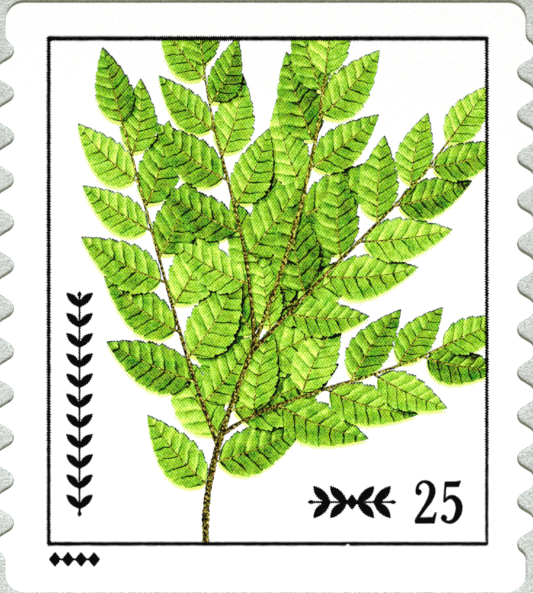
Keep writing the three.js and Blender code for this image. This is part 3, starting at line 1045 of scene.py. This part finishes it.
def cut_edge():
    """The stamp's outline as the die left it."""
    return roughened(evenly(stamp_outline(CUT_ARC_STEPS), CUT_SPACING), CUT_ROUGHNESS, CUT_BUMP)


def make_liner():
    """The backing paper, slit on its four sides, with the die's light score round the stamp."""
    bottom, top = level("liner")
    low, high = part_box("liner")
    size = [(high[axis] - low[axis]) / MM - 2 * SLIT_ROUGHNESS for axis in (0, 1)]
    slit = roughened(evenly(rectangle(*size), SLIT_SPACING), SLIT_ROUGHNESS, SLIT_BUMP)
    stamp = cut_edge()
    body = Body()
    under = body.ring(slit, bottom)
    rim = body.ring(slit, top)
    outer = body.ring(moved(stamp, SCORE_OUTER), top)
    score = body.ring(moved(stamp, SCORE_BOTTOM), top - SCORE_DEPTH)
    inner = body.ring(moved(stamp, SCORE_INNER), top)
    body.cap(under, up=False)
    body.wall(under, rim)
    body.cap(rim, outer)
    body.wall(outer, score)
    body.wall(score, inner)
    body.cap(inner)
    dressed(made("backing_paper", body.points, body.faces, liner_paper()), "liner", "liner")


def make_adhesive():
    bottom, top = level("adhesive")
    edge = roughened(moved(cut_edge(), -ADHESIVE_INSET), ADHESIVE_ROUGHNESS, ADHESIVE_BUMP)
    body = Body()
    lower = body.ring(edge, bottom)
    upper = body.ring(edge, top)
    body.cap(lower, up=False)
    body.wall(lower, upper)
    body.cap(upper)
    dressed(made("adhesive_film", body.points, body.faces, adhesive()), "adhesive", "adhesive")


def make_face_paper():
    """The stamp's paper: a cut wall that leans in a little, and a top edge that the die pressed round."""
    bottom, top = level("face_paper")
    edge = cut_edge()
    low_fibres = roughened(edge, FIBRE_DEPTH, LOW_FIBRE_BUMP)
    high_fibres = roughened(moved(edge, -HIGH_FIBRE_INSET), FIBRE_DEPTH, HIGH_FIBRE_BUMP)
    body = Body()
    rings = [body.ring(moved(edge, -WALL_LEAN), bottom)]
    rings.append(body.ring(low_fibres, bottom + LOW_FIBRES))
    rings.append(body.ring(high_fibres, top - HIGH_FIBRES))
    for i in range(PRESSED_STEPS + 1):
        angle = math.pi / 2 * i / PRESSED_STEPS
        inset = WALL_LEAN + PRESSED_RADIUS * (1 - math.cos(angle))
        rings.append(body.ring(moved(edge, -inset), top - PRESSED_RADIUS * (1 - math.sin(angle))))
    body.cap(rings[0], up=False)
    for lower, upper in zip(rings, rings[1:]):
        body.wall(lower, upper)
    body.cap(rings[-1])
    dressed(made("stamp_paper", body.points, body.faces, face_paper()), "face_paper", "face_paper")


def black_outlines():
    """The loops of each black figure, as printed."""
    chance = random.Random(BLACK_SEED)
    outlines = {}
    for figure in BLACK_FIGURES:
        depth = BORDER_TOOTH_DEPTH if figure == "border" else FIGURE_TOOTH_DEPTH
        outlines[figure] = [screened(smoothed(loop), depth, chance) for loop in top_loops("ink_" + figure)]
    outlines["border"] = [nicked(loop) for loop in outlines["border"]]
    return outlines


def make_black_ink(outlines):
    material = black_ink()
    for figure, loops in outlines.items():
        node = "ink_" + figure
        piece = ink_from_loops("printed_" + figure, loops, *level(node), material)
        dressed(piece, "black_ink", node)


# Studio


def make_camera():
    """Straight above, with the stamp where the photograph has it."""
    target_x = ((PHOTO_WIDTH - 1) / 2 - STAMP_MIDDLE_X) * PIXEL * MM
    target_y = (STAMP_MIDDLE_Y - (PHOTO_HEIGHT - 1) / 2) * PIXEL * MM
    _, surface = level("face_paper")
    camera = bpy.data.cameras.new("camera")
    camera.sensor_width = SENSOR
    camera.lens = SENSOR * CAMERA_HEIGHT / (PHOTO_HEIGHT * PIXEL * MM)
    camera.clip_start, camera.clip_end = CAMERA_RANGE
    eye = bpy.data.objects.new("camera", camera)
    eye.location = (target_x, target_y, surface * MM + CAMERA_HEIGHT)
    bpy.context.scene.collection.objects.link(eye)
    bpy.context.scene.camera = eye


def make_light():
    """Faint warm light all round, and a soft cool lamp at the stamp's foot, for narrow warm shadows."""
    world = bpy.data.worlds.new("studio")
    world.use_nodes = True
    world.node_tree.nodes["Background"].inputs["Color"].default_value = SKY_COLOUR
    world.node_tree.nodes["Background"].inputs["Strength"].default_value = SKY_STRENGTH
    bpy.context.scene.world = world
    lamp = bpy.data.lights.new("lamp", "AREA")
    lamp.size = LAMP_SIZE
    lamp.energy = LAMP_POWER
    lamp.color = LAMP_COLOUR
    light = bpy.data.objects.new("lamp", lamp)
    light.location = LAMP_PLACE
    light.rotation_euler = (-Vector(LAMP_PLACE)).to_track_quat("-Z", "Y").to_euler()
    bpy.context.scene.collection.objects.link(light)
    bpy.context.scene.view_settings.view_transform = "Standard"


def make_floor():
    """A plain floor with a window under the backing paper, which lets light reach the paper's back."""
    surface = Surface("floor", roughness=0.8)
    tone = FLOOR_TONE + surface.cloud(FLOOR_PATCH, FLOOR_PATCH, detail=1.0, seed=20.0) * FLOOR_UNEVENNESS
    surface.coloured(tone, tone, tone)
    low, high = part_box("liner")
    window = [(high[axis] - low[axis]) / MM - 2 * WINDOW_INSET for axis in (0, 1)]
    corners = rectangle(2 * FLOOR_REACH, 2 * FLOOR_REACH) + rectangle(*window)
    points = [(corner.real, corner.imag, -FLOOR_DROP) for corner in corners]
    faces = [(i, (i + 1) % 4, 4 + (i + 1) % 4, 4 + i) for i in range(4)]
    made("floor", points, faces, surface.material)


make_camera()
make_light()
make_floor()
make_liner()
make_adhesive()
make_face_paper()
black_figures = black_outlines()
print_picture(black_figures["border"])
make_black_ink(black_figures)
